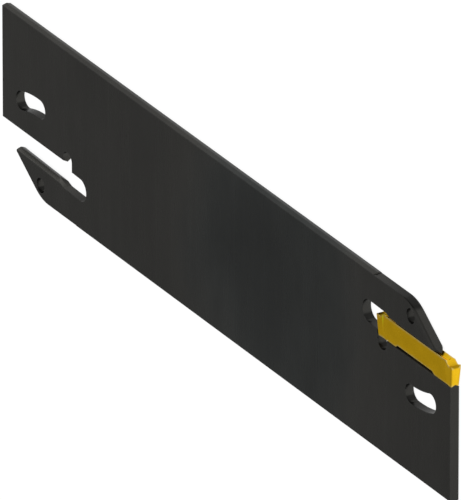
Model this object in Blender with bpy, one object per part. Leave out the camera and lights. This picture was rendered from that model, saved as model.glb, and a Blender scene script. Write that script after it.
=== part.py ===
"""Parting-off blade with a self-clamping pocket at each end and one two-edged insert.

The blade lies flat: X runs along it, with the fitted insert at +X, Y runs across it
towards the clamping finger of that end, and Z is its thickness. Both ends are the same
but for a half turn about Z, except that the finger over the insert is held open a
little. Lengths are metres and angles radians.
"""

import math

import bmesh
import bpy
from mathutils import Matrix, Vector

OBJECT_NAME = "parting_blade"

# Blade: a ground steel bar whose long edges are V-shaped guides
BLADE_LENGTH = 0.150
BLADE_HEIGHT = 0.032  # over the crests of both V edges
BLADE_THICKNESS = 0.0017
EDGE_FLANK_ANGLE = math.radians(15)
EDGE_CREST_WIDTH = 0.00012

# Insert: two cutting edges, one at each end
INSERT_LENGTH = 0.0245
CUTTING_WIDTH = 0.0020
INSERT_HEIGHT = 0.00405  # from the feet to a cutting edge
RIB_HEIGHT = 0.0045  # from the feet to the ribs beside the top groove
WAIST_WIDTH = 0.00164
FRONT_CLEARANCE_ANGLE = math.radians(6)
SIDE_CLEARANCE_ANGLE = math.radians(2.8)
HEAD_LENGTH = 0.0019  # the wide part behind each cutting edge
HEAD_RELIEF_ANGLE = math.radians(2)
HEAD_STEP_ANGLE = math.radians(30)
FOOT_LENGTH = 0.0055
RECESS_DEPTH = 0.00055
RECESS_RAMP_LENGTH = 0.0007
CHIP_GROOVE_DEPTH = 0.00028  # below the cutting edge
CHIP_GROOVE_LENGTH = 0.0013
CHIP_WALL_LENGTH = 0.0006
TOP_GROOVE_INSET = 0.0023  # from a cutting edge to the end of the groove in the top

# Place of the insert in the blade
CUTTING_EDGE_DROP = 0.0067  # below the upper crest of the blade
OVERHANG = 0.0005  # of the cutting edge past the blade's end
SEAT_GAP = 0.00005
CLAMP_GAP = 0.00005  # at the finger's tip
ROOT_GAP = 0.00022  # at the finger's root
STOP_GAP = 0.0001

# V rails on the seat and on the finger
RAIL_FLANK_ANGLE = math.radians(26)
RAIL_CREST_WIDTH = 0.00015

# Pocket: seat, corner relief, stop, slot with a round end, and ramp up to the finger's rail
RELIEF_RADIUS = 0.00155
RELIEF_DROP = 0.00048  # of its centre below the seat
STOP_HEIGHT = 0.00114
SLOT_REACH = 0.0029  # from the stop to the centre of the round end
SLOT_TAPER = math.radians(1.5)
FINGER_STEP = 0.00042  # of the slot's wall above the finger's underside
RAMP_ANGLE = math.radians(18)
RAMP_TOP_INSET = 0.00283  # from the stop to the top of the ramp
SPRING_ANGLE = math.radians(0.85)  # by which an empty pocket's finger closes

# Finger: its outer side
CLAMP_DEPTH = 0.0045  # from the blade's end to where the finger bears on the insert
TIP_RADIUS = 0.0004
SHOULDER_DEPTH = 0.01284  # where the slope would meet the finger's top
FINGER_SLOPE_ANGLE = math.radians(35.1)
SHOULDER_RADIUS = 0.0075
FINGER_BEVEL = 0.0003
FINGER_TOP_RELIEF = 0.00005  # below the top corner of the blade's face
FINGER_TOP_LENGTH = 0.0252  # of the stretch with no V edge
FINGER_TOP_RUNOUT = 0.0004

# Holes for the release key
KEY_HOLE_RADIUS = 0.00135
KEY_HOLE_DEPTH = 0.0130  # from the blade's end
KEY_HOLE_INSET = 0.0026  # below the finger's top
KEY_SLOT_WIDTH = 0.00346
KEY_SLOT_SWEEP_RADIUS = 0.0201
KEY_SLOT_DROP = 0.0064  # of its centre line's lowest point below the seat
KEY_SLOT_DEPTH = 0.0124  # of that point from the blade's end
KEY_SLOT_INNER_ANGLE = math.radians(1.6)
KEY_SLOT_OUTER_ANGLE = math.radians(17.3)

# Finishes: linear colour, roughness, metallic
STEEL_FINISH = ((0.045, 0.044, 0.042), 0.46, 0.85)
COATING_FINISH = ((0.84, 0.50, 0.014), 0.3, 1)

# Drawing
ARC_STEP = math.radians(6)
SHARP_ANGLE = math.radians(30)  # past which two faces meet at a visible corner
FLAT_ANGLE = 1e-4  # within which two faces are one
CUT_MARGIN = 0.001  # by which a cutter stands out of what it cuts
MERGE_DISTANCE = 1e-8
OUTLINE_SCALE = 1000  # curves are filled at this scale, since filling merges tiny steps

# Sizes that follow from those above
HALF_THICKNESS = BLADE_THICKNESS / 2
EDGE_RISE = (HALF_THICKNESS - EDGE_CREST_WIDTH / 2) * math.tan(EDGE_FLANK_ANGLE)
RAIL_RISE = (HALF_THICKNESS - RAIL_CREST_WIDTH / 2) * math.tan(RAIL_FLANK_ANGLE)
FACE_EDGE = BLADE_HEIGHT / 2 - EDGE_RISE
SEAT_LEVEL = BLADE_HEIGHT / 2 - CUTTING_EDGE_DROP - INSERT_HEIGHT - SEAT_GAP
FINGER_TOP = FACE_EDGE - FINGER_TOP_RELIEF - SEAT_LEVEL
STOP_DEPTH = (
    INSERT_LENGTH
    - OVERHANG
    - (INSERT_HEIGHT + SEAT_GAP - STOP_HEIGHT) * math.tan(FRONT_CLEARANCE_ANGLE)
    + STOP_GAP
)
RAMP_TOP_DEPTH = STOP_DEPTH - RAMP_TOP_INSET
ROOT_DEPTH = RAMP_TOP_DEPTH - FINGER_STEP / math.tan(RAMP_ANGLE)
ROOT_HEIGHT = SEAT_GAP + RIB_HEIGHT + ROOT_GAP
CLAMP_HEIGHT = SEAT_GAP + RIB_HEIGHT + CLAMP_GAP
HELD_TAPER = math.atan2(ROOT_HEIGHT - CLAMP_HEIGHT, ROOT_DEPTH - CLAMP_DEPTH)
FREE_TAPER = HELD_TAPER + SPRING_ANGLE


def clear_scene():
    """Removes every object of the open scene."""
    for item in list(bpy.data.objects):
        bpy.data.objects.remove(item, do_unlink=True)


def new_collection(name):
    collection = bpy.data.collections.new(name)
    bpy.context.scene.collection.children.link(collection)
    return collection


def point(depth, height):
    """A point of the end's own plane: depth in from the blade's end, height above the seat."""
    return Vector((-depth, height))


def turned(angle):
    """The unit direction at this angle from +X."""
    return Vector((math.cos(angle), math.sin(angle)))


def arc(centre, radius, start, end):
    """Points along an arc, both ends included, no more than ARC_STEP apart."""
    steps = max(2, math.ceil(abs(end - start) / ARC_STEP))
    angles = (start + (end - start) * step / steps for step in range(steps + 1))
    return [centre + radius * turned(angle) for angle in angles]


def crossing(first, first_way, second, second_way):
    """Where the line through first meets the line through second."""
    across = first_way.x * second_way.y - first_way.y * second_way.x
    gap = second - first
    along = (gap.x * second_way.y - gap.y * second_way.x) / across
    return first + first_way * along


def fillet(before, corner, after, radius):
    """The arc that rounds a corner of an outline, tangent to both of its sides."""
    back = (before - corner).normalized()
    onward = (after - corner).normalized()
    half = back.angle(onward) / 2
    centre = corner + (back + onward).normalized() * radius / math.sin(half)
    first = corner + back * radius / math.tan(half) - centre
    sweep = (math.pi - 2 * half) * (1 if back.cross(onward) < 0 else -1)
    start = math.atan2(first.y, first.x)
    return arc(centre, radius, start, start + sweep)


def prism(name, outline, depth, place=Matrix()):
    """A flat outline made solid: a filled curve drawn out by half the depth to each side."""
    curve = bpy.data.curves.new(name, "CURVE")
    curve.dimensions = "2D"
    curve.fill_mode = "BOTH"
    curve.extrude = OUTLINE_SCALE * depth / 2
    spline = curve.splines.new("POLY")
    spline.points.add(len(outline) - 1)
    for knot, corner in zip(spline.points, outline):
        knot.co = (OUTLINE_SCALE * corner[0], OUTLINE_SCALE * corner[1], 0, 1)
    spline.use_cyclic_u = True
    drawn = bpy.data.objects.new(f"{name}_drawn", curve)
    drawn.matrix_world = place
    bpy.context.scene.collection.objects.link(drawn)
    graph = bpy.context.evaluated_depsgraph_get()
    mesh = bpy.data.meshes.new_from_object(drawn.evaluated_get(graph))
    mesh.transform(Matrix.Scale(1 / OUTLINE_SCALE, 4))
    weld(mesh)
    solid = bpy.data.objects.new(name, mesh)
    solid.matrix_world = drawn.matrix_world
    bpy.data.objects.remove(drawn)
    bpy.data.curves.remove(curve)
    return solid


def weld(mesh):
    """Joins a drawn curve's loose caps to its sides and turns its faces outwards."""
    shape = bmesh.new()
    shape.from_mesh(mesh)
    bmesh.ops.remove_doubles(shape, verts=shape.verts, dist=MERGE_DISTANCE)
    bmesh.ops.dissolve_limit(
        shape, angle_limit=FLAT_ANGLE, verts=shape.verts, edges=shape.edges
    )
    bmesh.ops.recalc_face_normals(shape, faces=shape.faces)
    shape.to_mesh(mesh)
    shape.free()


def straight_bar(name, section, start, end):
    """A section carried from start to end in the blade's plane.

    The section's first coordinate lies square to the run, on its left, and its second is Z.
    """
    run = end - start
    along = run.normalized()
    turn = Matrix(
        ((-along.y, 0, along.x), (along.x, 0, along.y), (0, 1, 0))
    ).to_4x4()
    middle = (start + end) / 2
    place = Matrix.Translation((middle.x, middle.y, 0)) @ turn
    return prism(name, section, run.length, place)


def cut(target, cutter, cutters):
    """Takes the cutter's shape out of the target and keeps it as a wire helper."""
    cutters.objects.link(cutter)
    cutter.hide_render = True
    cutter.display_type = "WIRE"
    boolean = target.modifiers.new(cutter.name, "BOOLEAN")
    boolean.operation = "DIFFERENCE"
    boolean.solver = "EXACT"
    boolean.object = cutter


def surface(name, colour, roughness, metallic):
    """A plain metal material."""
    material = bpy.data.materials.new(name)
    material.use_nodes = True
    shader = material.node_tree.nodes["Principled BSDF"]
    shader.inputs["Base Color"].default_value = (*colour, 1)
    shader.inputs["Roughness"].default_value = roughness
    shader.inputs["Metallic"].default_value = metallic
    return material


def v_section(half_width, rise, crest_width, side):
    """One half of what lies beside a V rail: a triangle from past its crest to past the face.

    The rail's foot is at 0, its crest at rise, and side is 1 for the upper face and -1
    for the lower one.
    """
    crest = crest_width / 2
    slope = rise / (half_width - crest)
    inner = crest - CUT_MARGIN / 2
    outer = half_width + CUT_MARGIN
    low = -slope * CUT_MARGIN
    high = rise + slope * CUT_MARGIN / 2
    corners = [(low, outer), (high, outer), (high, inner)]
    return [(across, side * up) for across, up in corners]


def mirrored(section):
    """The section with its first coordinate turned over."""
    return [(-across, up) for across, up in section]


def bevel_section(width, side):
    """A triangle that takes a bevel off an edge at 0, on the upper or the lower face."""
    corners = [
        (-width - CUT_MARGIN, HALF_THICKNESS + CUT_MARGIN),
        (CUT_MARGIN, HALF_THICKNESS - width - CUT_MARGIN),
        (CUT_MARGIN, HALF_THICKNESS + CUT_MARGIN),
    ]
    return [(across, side * up) for across, up in corners]


def finger_lines(taper):
    """A point and the outward direction of the finger's underside, then of its slope."""
    under = point(ROOT_DEPTH, ROOT_HEIGHT)
    shoulder = point(SHOULDER_DEPTH, FINGER_TOP)
    return under, turned(-taper), shoulder, turned(-FINGER_SLOPE_ANGLE)


def pocket_outline(taper):
    """The open space at one end, seen from above, out to the crests of its rails."""
    under, under_way, shoulder, slope_way = finger_lines(taper)
    crest = under - RAIL_RISE * Vector((-under_way.y, under_way.x))
    tip = crossing(shoulder, slope_way, crest, under_way)
    slot_way = turned(-SLOT_TAPER)
    slot_side = Vector((-slot_way.y, slot_way.x))
    far_start = point(RAMP_TOP_DEPTH, ROOT_HEIGHT + FINGER_STEP)
    near_start = point(STOP_DEPTH, STOP_HEIGHT)
    slot_radius = (far_start - near_start).dot(slot_side) / 2
    slot_centre = near_start + slot_side * slot_radius - slot_way * SLOT_REACH
    ramp_foot = crossing(far_start, turned(-RAMP_ANGLE), crest, under_way)
    relief_centre = point(STOP_DEPTH - RELIEF_RADIUS, -RELIEF_DROP)
    rail_angle = math.asin((RAIL_RISE + RELIEF_DROP) / RELIEF_RADIUS)
    outside = CUT_MARGIN + OVERHANG
    above = FINGER_TOP + EDGE_RISE + CUT_MARGIN
    clear_end = point(FINGER_TOP_LENGTH, FINGER_TOP)
    return [
        point(-outside, above),
        clear_end + Vector((-FINGER_TOP_RUNOUT, above - FINGER_TOP)),
        clear_end,
        *fillet(clear_end, shoulder, tip, SHOULDER_RADIUS),
        *fillet(shoulder, tip, ramp_foot, TIP_RADIUS),
        ramp_foot,
        far_start,
        *arc(
            slot_centre,
            slot_radius,
            math.pi / 2 - SLOT_TAPER,
            3 * math.pi / 2 - SLOT_TAPER,
        ),
        near_start,
        *arc(relief_centre, RELIEF_RADIUS, math.pi, 2 * math.pi + rail_angle),
        point(-outside, RAIL_RISE),
    ]


def key_slot_outline():
    """A curved slot with round ends, its centre line an arc about a point over the seat."""
    centre = point(KEY_SLOT_DEPTH, KEY_SLOT_SWEEP_RADIUS - KEY_SLOT_DROP)
    half = KEY_SLOT_WIDTH / 2
    inner = -math.pi / 2 - KEY_SLOT_INNER_ANGLE
    outer = -math.pi / 2 + KEY_SLOT_OUTER_ANGLE
    inner_end = centre + KEY_SLOT_SWEEP_RADIUS * turned(inner)
    outer_end = centre + KEY_SLOT_SWEEP_RADIUS * turned(outer)
    return [
        *arc(centre, KEY_SLOT_SWEEP_RADIUS + half, inner, outer)[1:-1],
        *arc(outer_end, half, outer, outer + math.pi),
        *arc(centre, KEY_SLOT_SWEEP_RADIUS - half, outer, inner)[1:-1],
        *arc(inner_end, half, inner + math.pi, inner + 2 * math.pi),
    ]


def end_cutters(end, taper):
    """Everything that is cut away at one end, in that end's own plane."""
    depth = BLADE_THICKNESS + 2 * CUT_MARGIN
    under, under_way, shoulder, slope_way = finger_lines(taper)
    seat_inner = point(STOP_DEPTH - RELIEF_RADIUS, 0)
    seat_outer = point(-OVERHANG - CUT_MARGIN, 0)
    ramp_middle = under - under_way * (RAMP_TOP_DEPTH - ROOT_DEPTH) / 2
    under_outer = under + under_way * (ROOT_DEPTH + CUT_MARGIN)
    slope_outer = crossing(shoulder, slope_way, under, under_way) + slope_way * CUT_MARGIN
    made = [prism(f"{end}_pocket", pocket_outline(taper), depth)]
    for face, side in (("upper", 1), ("lower", -1)):
        rail = v_section(HALF_THICKNESS, RAIL_RISE, RAIL_CREST_WIDTH, side)
        bevel = bevel_section(FINGER_BEVEL, side)
        made += [
            straight_bar(f"{end}_seat_flank_{face}", rail, seat_inner, seat_outer),
            straight_bar(
                f"{end}_finger_flank_{face}", mirrored(rail), ramp_middle, under_outer
            ),
            straight_bar(f"{end}_finger_bevel_{face}", bevel, shoulder, slope_outer),
        ]
    hole_centre = point(KEY_HOLE_DEPTH, FINGER_TOP - KEY_HOLE_INSET)
    hole = arc(hole_centre, KEY_HOLE_RADIUS, 0, 2 * math.pi)[:-1]
    made.append(prism(f"{end}_key_hole", hole, depth))
    made.append(prism(f"{end}_key_slot", key_slot_outline(), depth))
    return made


def blade_section():
    """The bar's cross-section: flat faces and a V with a narrow crest on each long edge."""
    quarter = [(FACE_EDGE, HALF_THICKNESS), (BLADE_HEIGHT / 2, EDGE_CREST_WIDTH / 2)]
    half = quarter + [(across, -up) for across, up in reversed(quarter)]
    return half + [(-across, up) for across, up in reversed(half)]


def build_blade(centre, parts, cutters):
    half_length = Vector((BLADE_LENGTH / 2, 0))
    body = straight_bar("blade_body", blade_section(), -half_length, half_length)
    parts.objects.link(body)
    body.parent = centre
    for end, turn, taper in (("held", 0, HELD_TAPER), ("free", math.pi, FREE_TAPER)):
        place = Matrix.Rotation(turn, 4, "Z") @ Matrix.Translation(
            (BLADE_LENGTH / 2, SEAT_LEVEL, 0)
        )
        for cutter in end_cutters(end, taper):
            cutter.matrix_world = place @ cutter.matrix_world
            cutter.parent = centre
            cut(body, cutter, cutters)
    return body


def insert_outline():
    """The insert from the side, about its middle: feet, flanks, chip formers and top."""
    edge = INSERT_LENGTH / 2
    foot_outer = edge - INSERT_HEIGHT * math.tan(FRONT_CLEARANCE_ANGLE)
    foot_inner = foot_outer - FOOT_LENGTH
    groove_half = CHIP_GROOVE_LENGTH / 2
    groove_radius = (groove_half**2 + CHIP_GROOVE_DEPTH**2) / (2 * CHIP_GROOVE_DEPTH)
    groove_angle = math.asin(groove_half / groove_radius)
    groove_centre = Vector(
        (edge - groove_half, INSERT_HEIGHT - CHIP_GROOVE_DEPTH + groove_radius)
    )
    right = [
        Vector((foot_inner - RECESS_RAMP_LENGTH, RECESS_DEPTH)),
        Vector((foot_inner, 0)),
        Vector((foot_outer, 0)),
        *arc(
            groove_centre,
            groove_radius,
            -math.pi / 2 + groove_angle,
            -math.pi / 2 - groove_angle,
        ),
        Vector((edge - CHIP_GROOVE_LENGTH - CHIP_WALL_LENGTH, RIB_HEIGHT)),
    ]
    return right + [Vector((-along.x, along.y)) for along in reversed(right)]


def waist_outline(side):
    """What is taken off one side between the heads, seen from the cutting edges' side."""
    edge = INSERT_LENGTH / 2
    wide = CUTTING_WIDTH / 2
    waist = WAIST_WIDTH / 2
    head_inner = edge - HEAD_LENGTH
    head_wide = wide - HEAD_LENGTH * math.tan(HEAD_RELIEF_ANGLE)
    step = max(head_wide - waist, 0) / math.tan(HEAD_STEP_ANGLE)
    outer = wide + CUT_MARGIN
    relief = CUT_MARGIN * math.tan(HEAD_RELIEF_ANGLE)
    half = [
        (head_inner - step, waist),
        (head_inner, head_wide),
        (edge + CUT_MARGIN, wide + relief),
        (edge + CUT_MARGIN, outer),
    ]
    whole = half + [(-along, across) for along, across in reversed(half)]
    return [(along, side * across) for along, across in whole]


def clearance_section(side):
    """What is taken off one side below the cutting edges, so that it leans in downwards."""
    wide = CUTTING_WIDTH / 2
    lean = math.tan(SIDE_CLEARANCE_ANGLE)
    top = INSERT_HEIGHT + CUT_MARGIN
    bottom = -CUT_MARGIN
    corners = [
        (top, wide + lean * CUT_MARGIN),
        (bottom, wide - lean * (INSERT_HEIGHT + CUT_MARGIN)),
        (bottom, wide + CUT_MARGIN),
        (top, wide + CUT_MARGIN),
    ]
    return [(height, side * across) for height, across in corners]


def groove_section(level, way):
    """A V groove cut in from a level of the insert, up or down, to fit over a V rail."""
    slope = RAIL_RISE / (HALF_THICKNESS - RAIL_CREST_WIDTH / 2)
    crest = RAIL_CREST_WIDTH / 2
    outer = HALF_THICKNESS + CUT_MARGIN
    corners = [
        (RAIL_RISE, crest),
        (RAIL_RISE, -crest),
        (-slope * CUT_MARGIN, -outer),
        (-slope * CUT_MARGIN, outer),
    ]
    return [(level + way * into, across) for into, across in corners]


def build_insert(centre, parts, cutters):
    middle = BLADE_LENGTH / 2 + OVERHANG - INSERT_LENGTH / 2
    place = Matrix.Translation((middle, SEAT_LEVEL + SEAT_GAP, 0))
    insert = prism("insert", insert_outline(), CUTTING_WIDTH, place)
    parts.objects.link(insert)
    insert.parent = centre
    reach = Vector((INSERT_LENGTH / 2 + CUT_MARGIN, 0))
    top_reach = Vector((INSERT_LENGTH / 2 - TOP_GROOVE_INSET, 0))
    made = [
        straight_bar("lower_groove", groove_section(0, 1), -reach, reach),
        straight_bar(
            "upper_groove", groove_section(RIB_HEIGHT, -1), -top_reach, top_reach
        ),
    ]
    standing = Matrix.Translation((0, RIB_HEIGHT / 2, 0)) @ Matrix.Rotation(
        math.pi / 2, 4, "X"
    )
    height = RIB_HEIGHT + 2 * CUT_MARGIN
    for face, side in (("upper", 1), ("lower", -1)):
        made += [
            prism(f"waist_{face}", waist_outline(side), height, standing),
            straight_bar(f"clearance_{face}", clearance_section(side), -reach, reach),
        ]
    for cutter in made:
        cutter.matrix_world = place @ cutter.matrix_world
        cutter.parent = centre
        cut(insert, cutter, cutters)
    return insert


def finish(part, material):
    """Gives a part its material and smooth rounds between sharp corners."""
    part.data.materials.clear()
    part.data.materials.append(material)
    part.data.shade_smooth()
    part.data.set_sharp_from_angle(angle=SHARP_ANGLE)


def main():
    clear_scene()
    parts = new_collection(OBJECT_NAME)
    cutters = new_collection(f"{OBJECT_NAME}_cutters")
    cutters.hide_render = True
    centre = bpy.data.objects.new("blade_centre", None)
    centre.location = (-OVERHANG / 2, 0, max(CUTTING_WIDTH, BLADE_THICKNESS) / 2)
    parts.objects.link(centre)
    steel = surface("blackened_steel", *STEEL_FINISH)
    coating = surface("gold_coating", *COATING_FINISH)
    finish(build_blade(centre, parts, cutters), steel)
    finish(build_insert(centre, parts, cutters), coating)


main()
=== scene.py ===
"""A self-clamping parting-off blade with its coated insert, on a pale studio floor.

The file is laid out as an add-on and run as a script. X runs along the blade towards
the end that holds the insert, Y runs across it towards that end's clamping finger, and
Z is its thickness. The blade's outline is worked out once for each level through the
thickness, so that its V edges, V rails, bevels and broken arrises are one surface of
two parameters. Lengths are metres and angles radians.
"""

import math

import bmesh
import bpy
import numpy as np
from mathutils import Matrix, Vector
from mathutils.geometry import tessellate_polygon


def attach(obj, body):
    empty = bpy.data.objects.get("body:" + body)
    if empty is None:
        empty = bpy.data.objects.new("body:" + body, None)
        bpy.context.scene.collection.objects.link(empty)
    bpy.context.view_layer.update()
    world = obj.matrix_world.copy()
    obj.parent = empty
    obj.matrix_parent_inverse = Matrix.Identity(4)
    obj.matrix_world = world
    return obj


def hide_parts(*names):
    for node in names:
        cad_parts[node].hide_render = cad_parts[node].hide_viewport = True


bl_info = {
    "name": "Parting Blade",
    "version": (1, 0, 0),
    "blender": (4, 5, 0),
    "location": "3D View > Sidebar > Parting Blade",
    "description": "Builds a parting-off blade, its coated insert and a pale studio",
    "category": "Object",
}

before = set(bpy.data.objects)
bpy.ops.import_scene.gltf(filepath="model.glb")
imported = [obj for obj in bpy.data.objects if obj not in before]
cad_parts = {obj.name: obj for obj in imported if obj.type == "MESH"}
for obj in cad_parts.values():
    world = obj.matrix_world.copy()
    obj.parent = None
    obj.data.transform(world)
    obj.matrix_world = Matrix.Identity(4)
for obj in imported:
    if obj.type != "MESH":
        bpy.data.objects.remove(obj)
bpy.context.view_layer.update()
BODY = "root"
MM = 0.001

# Places that both pieces share
OVERHANG = 0.5 * MM  # of the cutting edge past the blade's end
EDGE_DROP = 6.7 * MM  # from the blade's upper crest down to the cutting edge
SEAT_GAP = 0.05 * MM
CLAMP_GAP = 0.05 * MM  # at the finger's tip
ROOT_GAP = 0.22 * MM  # at the finger's root
STOP_GAP = 0.1 * MM
RAIL_FLANK_ANGLE = math.radians(26)
RAIL_CREST = 0.15 * MM
FRONT_CLEARANCE = math.tan(math.radians(6))

# Pocket
RELIEF_RADIUS = 1.55 * MM
RELIEF_DROP = 0.48 * MM
STOP_HEIGHT = 1.14 * MM
SLOT_REACH = 2.9 * MM
SLOT_TAPER = math.radians(1.5)
FINGER_STEP = 0.42 * MM
RAMP_ANGLE = math.radians(18)
RAMP_TOP_INSET = 2.83 * MM
SPRING_ANGLE = math.radians(0.85)  # by which the empty pocket's finger closes

# Finger
CLAMP_DEPTH = 4.5 * MM
HELD_TIP_RADII = (0.36 * MM, 0.2 * MM)  # at the faces and at the rail's crest
FREE_TIP_RADII = (0.22 * MM, 0.5 * MM)
LEAST_TIP_RADIUS = 0.01 * MM
SHOULDER_DEPTH = 12.84 * MM
FINGER_SLOPE = math.radians(35.1)
SHOULDER_RADIUS = 7.5 * MM
FINGER_BEVEL = 0.42 * MM
BEVEL_FADE = 0.7  # share of the bevel that is gone by the tip
FINGER_TOP_RELIEF = 0.05 * MM
FINGER_TOP_LENGTH = 25.2 * MM
FINGER_TOP_RUNOUT = 0.4 * MM
RUNOUT_RISE = 1.21 * MM  # over which the runout keeps its slant

# Holes for the release key
KEY_HOLE_RADIUS = 1.35 * MM
KEY_HOLE_DEPTH = 13.0 * MM
KEY_HOLE_INSET = 2.6 * MM
KEY_HOLE_BAND = 0.15 * MM  # the steel between the hole and the slope is narrow
KEY_SLOT_WIDTH = 3.46 * MM
KEY_SLOT_SWEEP = 20.1 * MM
KEY_SLOT_DROP = 6.4 * MM
KEY_SLOT_DEPTH = 12.4 * MM
KEY_SLOT_INNER = math.radians(1.6)
KEY_SLOT_OUTER = math.radians(17.3)

# Insert
RIB_HEIGHT = 4.5 * MM
WAIST_WIDTH = 1.64 * MM
SIDE_CLEARANCE = math.tan(math.radians(2.8))
HEAD_LENGTH = 1.9 * MM
HEAD_RELIEF = math.tan(math.radians(2))
HEAD_STEP = math.tan(math.radians(30))
FOOT_LENGTH = 5.5 * MM
RECESS_DEPTH = 0.55 * MM
RECESS_RAMP = 0.7 * MM
LAND_WIDTH = 0.18 * MM  # of the honed land on the cutting edge
LAND_DROP = 0.24 * MM
EDGE_DIP = 0.05 * MM  # of the cutting edge below its two corners
SCOOP_DEPTH = 0.24 * MM
WALL_FOOT = 1.05 * MM  # behind the edge, at the sides
WALL_NOSE = 0.3 * MM  # by which the wall's foot bulges forward in the middle
WALL_LENGTH = 1.25 * MM
GROOVE_START = 2.0 * MM  # behind the edge
GROOVE_RUN_IN = 0.6 * MM
GROOVE_END_SHARE = 0.4  # of the groove's depth, left where it meets the wall
LEAN_REACH = 1.8 * MM  # behind the front over which the sections straighten up
WEAR_REACH = 0.32 * MM  # of the pale strips along the insert's edges
LAND_PAINTED_SHADE = 0.5  # painted shade of the top at the cutting edge, next to the sides' 1
WALL_PAINTED_LIGHT = 1.06  # painted light of the top from the middle of the wall on
COVERED_PAINTED_SHADE = 0.42  # painted shade of the top under the finger and at the rear end
COVERED_REACH = (4.8 * MM, 5.5 * MM)  # behind the front, where the finger's shade starts and is full
STEP_PAINTED_HIGHLIGHT = 1.0  # painted highlight: by which the upper end of the rear head's step is lighter
# painted light: of the front faces, next to the sides' 1
FRONT_PAINTED_LIGHT = 1.2

# Where painted shade makes walls darkest: the way the wall faces, half the turn that is dark, its fade,
# its depth
HOLLOW_PAINTED_SHADE = (
    (math.radians(54), math.radians(12), math.radians(13), 0.62),
    (math.radians(106), math.radians(20), math.radians(14), 0.42),
    (math.radians(-50), math.radians(6), math.radians(12), 0.5),
)
SHOULDER_PAINTED_SHADE = ((math.radians(77), math.radians(11), math.radians(9), 0.72),)
RAIL_PAINTED_SHADES = (1.8, 0.4)  # painted light and shade of the free finger's upper and lower flank, next to the blade's 1

# Kinds of wall along the blade's outline
PLAIN, HOLLOW, BEVELLED, SHOULDER, FREE_RAIL = range(5)

# Meshing
ARC_POINTS = 49
TIP_POINTS = 33
SHOULDER_POINTS = 25
CIRCLE_POINTS = 96
BREAK_TURNS = np.radians([0, 30, 60, 90])
MERGE = 1e-7
BLADE_SHARP = math.radians(10)
INSERT_SHARP = math.radians(24)


class BladeSettings(bpy.types.PropertyGroup):
    length: bpy.props.FloatProperty(
        name="Length", description="End to end", default=150 * MM, unit="LENGTH", precision=5
    )
    height: bpy.props.FloatProperty(
        name="Height",
        description="Over the crests of both guide edges",
        default=32 * MM,
        unit="LENGTH",
        precision=5,
    )
    thickness: bpy.props.FloatProperty(
        name="Thickness",
        description="Between the ground faces",
        default=1.7 * MM,
        unit="LENGTH",
        precision=5,
    )
    guide_angle: bpy.props.FloatProperty(
        name="Guide angle",
        description="Lean of each flank of a guide edge",
        default=math.radians(15),
        subtype="ANGLE",
    )
    guide_crest: bpy.props.FloatProperty(
        name="Guide crest",
        description="Width of the flat left on a guide edge",
        default=0.12 * MM,
        unit="LENGTH",
        precision=5,
    )
    edge_break: bpy.props.FloatProperty(
        name="Edge break",
        description="Radius of the broken arrises",
        default=0.045 * MM,
        unit="LENGTH",
        precision=5,
    )
    wear_band: bpy.props.FloatProperty(
        name="Wear band",
        description="How far rubbing reaches in from an arris",
        default=0.22 * MM,
        unit="LENGTH",
        precision=5,
    )
    colour: bpy.props.FloatVectorProperty(
        name="Oxide colour",
        description="Black oxide on the steel",
        default=(0.0475, 0.0465, 0.0425),
        subtype="COLOR",
        size=3,
    )
    # A painted reflection's tint: the colour in the broad oval past the middle
    reflection_tint_colour: bpy.props.FloatVectorProperty(
        name="Cool oxide colour",
        description="The oxide's colour in the broad oval past the middle",
        default=(0.0435, 0.0465, 0.0447),
        subtype="COLOR",
        size=3,
    )
    worn_colour: bpy.props.FloatVectorProperty(
        name="Worn colour",
        description="Oxide rubbed thin at the arrises",
        default=(0.07, 0.069, 0.067),
        subtype="COLOR",
        size=3,
    )
    sheen: bpy.props.FloatVectorProperty(
        name="Grazing sheen",
        description="How much the oxide still shines at a grazing view",
        default=(0.6, 0.6, 0.6),
        subtype="COLOR",
        size=3,
    )
    roughness: bpy.props.FloatProperty(
        name="Roughness",
        description="Of the ground and blackened faces",
        default=0.27,
        subtype="FACTOR",
        min=0,
        max=1,
    )
    clouding: bpy.props.FloatProperty(
        name="Clouding",
        description="Strength of the slow changes of shade over the faces",
        default=0.42,
        subtype="FACTOR",
        min=0,
        max=1,
    )
    streaks: bpy.props.FloatProperty(
        name="Grinding streaks",
        description="Strength of the streaks across the blade",
        default=0.14,
        subtype="FACTOR",
        min=0,
        max=1,
    )


class InsertSettings(bpy.types.PropertyGroup):
    length: bpy.props.FloatProperty(
        name="Length",
        description="Between the two cutting edges",
        default=24.5 * MM,
        unit="LENGTH",
        precision=5,
    )
    width: bpy.props.FloatProperty(
        name="Cutting width",
        description="Width of the groove that it cuts",
        default=2.0 * MM,
        unit="LENGTH",
        precision=5,
    )
    height: bpy.props.FloatProperty(
        name="Edge height",
        description="From the feet to a cutting edge",
        default=4.05 * MM,
        unit="LENGTH",
        precision=5,
    )
    corner_radius: bpy.props.FloatProperty(
        name="Corner radius",
        description="Of the cutting corners, seen from above",
        default=0.2 * MM,
        unit="LENGTH",
        precision=5,
    )
    rounding: bpy.props.FloatProperty(
        name="Rounding",
        description="Radius of the long edges",
        default=0.07 * MM,
        unit="LENGTH",
        precision=5,
    )
    colour: bpy.props.FloatVectorProperty(
        name="Coating colour",
        description="Gold nitride coating",
        default=(0.84, 0.5, 0.014),
        subtype="COLOR",
        size=3,
    )
    sheen: bpy.props.FloatVectorProperty(
        name="Grazing sheen",
        description="How much the coating still shines at a grazing view",
        default=(1.0, 0.9, 0.5),
        subtype="COLOR",
        size=3,
    )
    # the colour of the pale strips along the edges
    edge_colour: bpy.props.FloatVectorProperty(
        name="Edge colour",
        description="Coating brushed pale along the edges",
        default=(0.8, 0.6, 0.2),
        subtype="COLOR",
        size=3,
    )


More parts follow.
